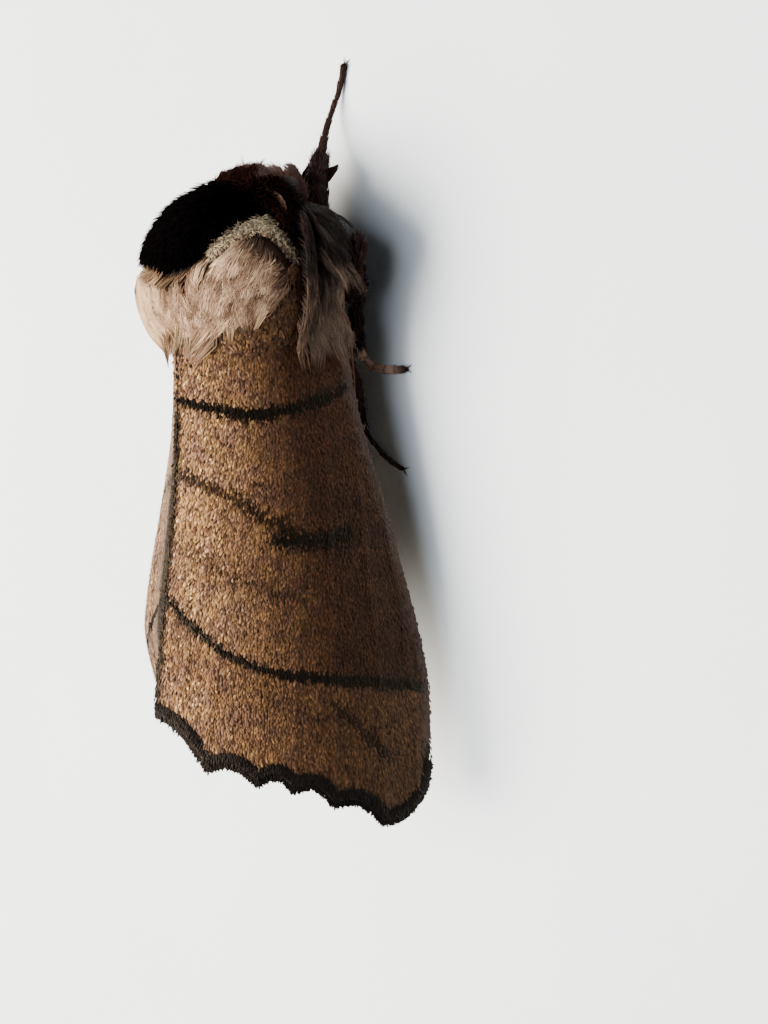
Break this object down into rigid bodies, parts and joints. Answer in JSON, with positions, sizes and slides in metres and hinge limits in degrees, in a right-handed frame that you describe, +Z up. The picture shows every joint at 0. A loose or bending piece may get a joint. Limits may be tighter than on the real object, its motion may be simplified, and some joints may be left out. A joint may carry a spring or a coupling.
{
  "type": "moth",
  "caption": "Life-size still model of a prominent moth at rest, wings folded roof-wise over the body and one foreleg stretched forward.",
  "frame": {"origin": "on the floor under the middle of the moth's length and width", "axes": "+Z up, +Y towards the wing tips with the head at -Y, +X towards the moth's left"},
  "size_m": [0.0126, 0.0307, 0.0101],
  "materials": {
    "head_hair": "matte",
    "collar_hair": "matte",
    "thorax_hair": "matte",
    "tegula_hair": "matte",
    "abdomen_hair": "matte",
    "wing_scales": "satin",
    "hindwing_scales": "satin",
    "eye_lens": "gloss",
    "leg_hair": "matte",
    "antenna_scales": "matte"
  },
  "bodies": {
    "root": {"head": "head_hair", "eye_right": "eye_lens", "eye_left": "eye_lens", "palp_right": "head_hair", "palp_left": "head_hair", "antenna_right": "antenna_scales", "antenna_left": "antenna_scales", "collar": "collar_hair", "thorax": "thorax_hair", "tegula_right": "tegula_hair", "tegula_left": "tegula_hair", "abdomen": "abdomen_hair", "forewing_right": "wing_scales", "forewing_left": "wing_scales", "hindwing_right": "hindwing_scales", "hindwing_left": "hindwing_scales", "foreleg_right": "leg_hair", "foreleg_left": "leg_hair", "midleg_right": "leg_hair", "midleg_left": "leg_hair", "hindleg_right": "leg_hair", "hindleg_left": "leg_hair"}
  },
  "joints": []
}
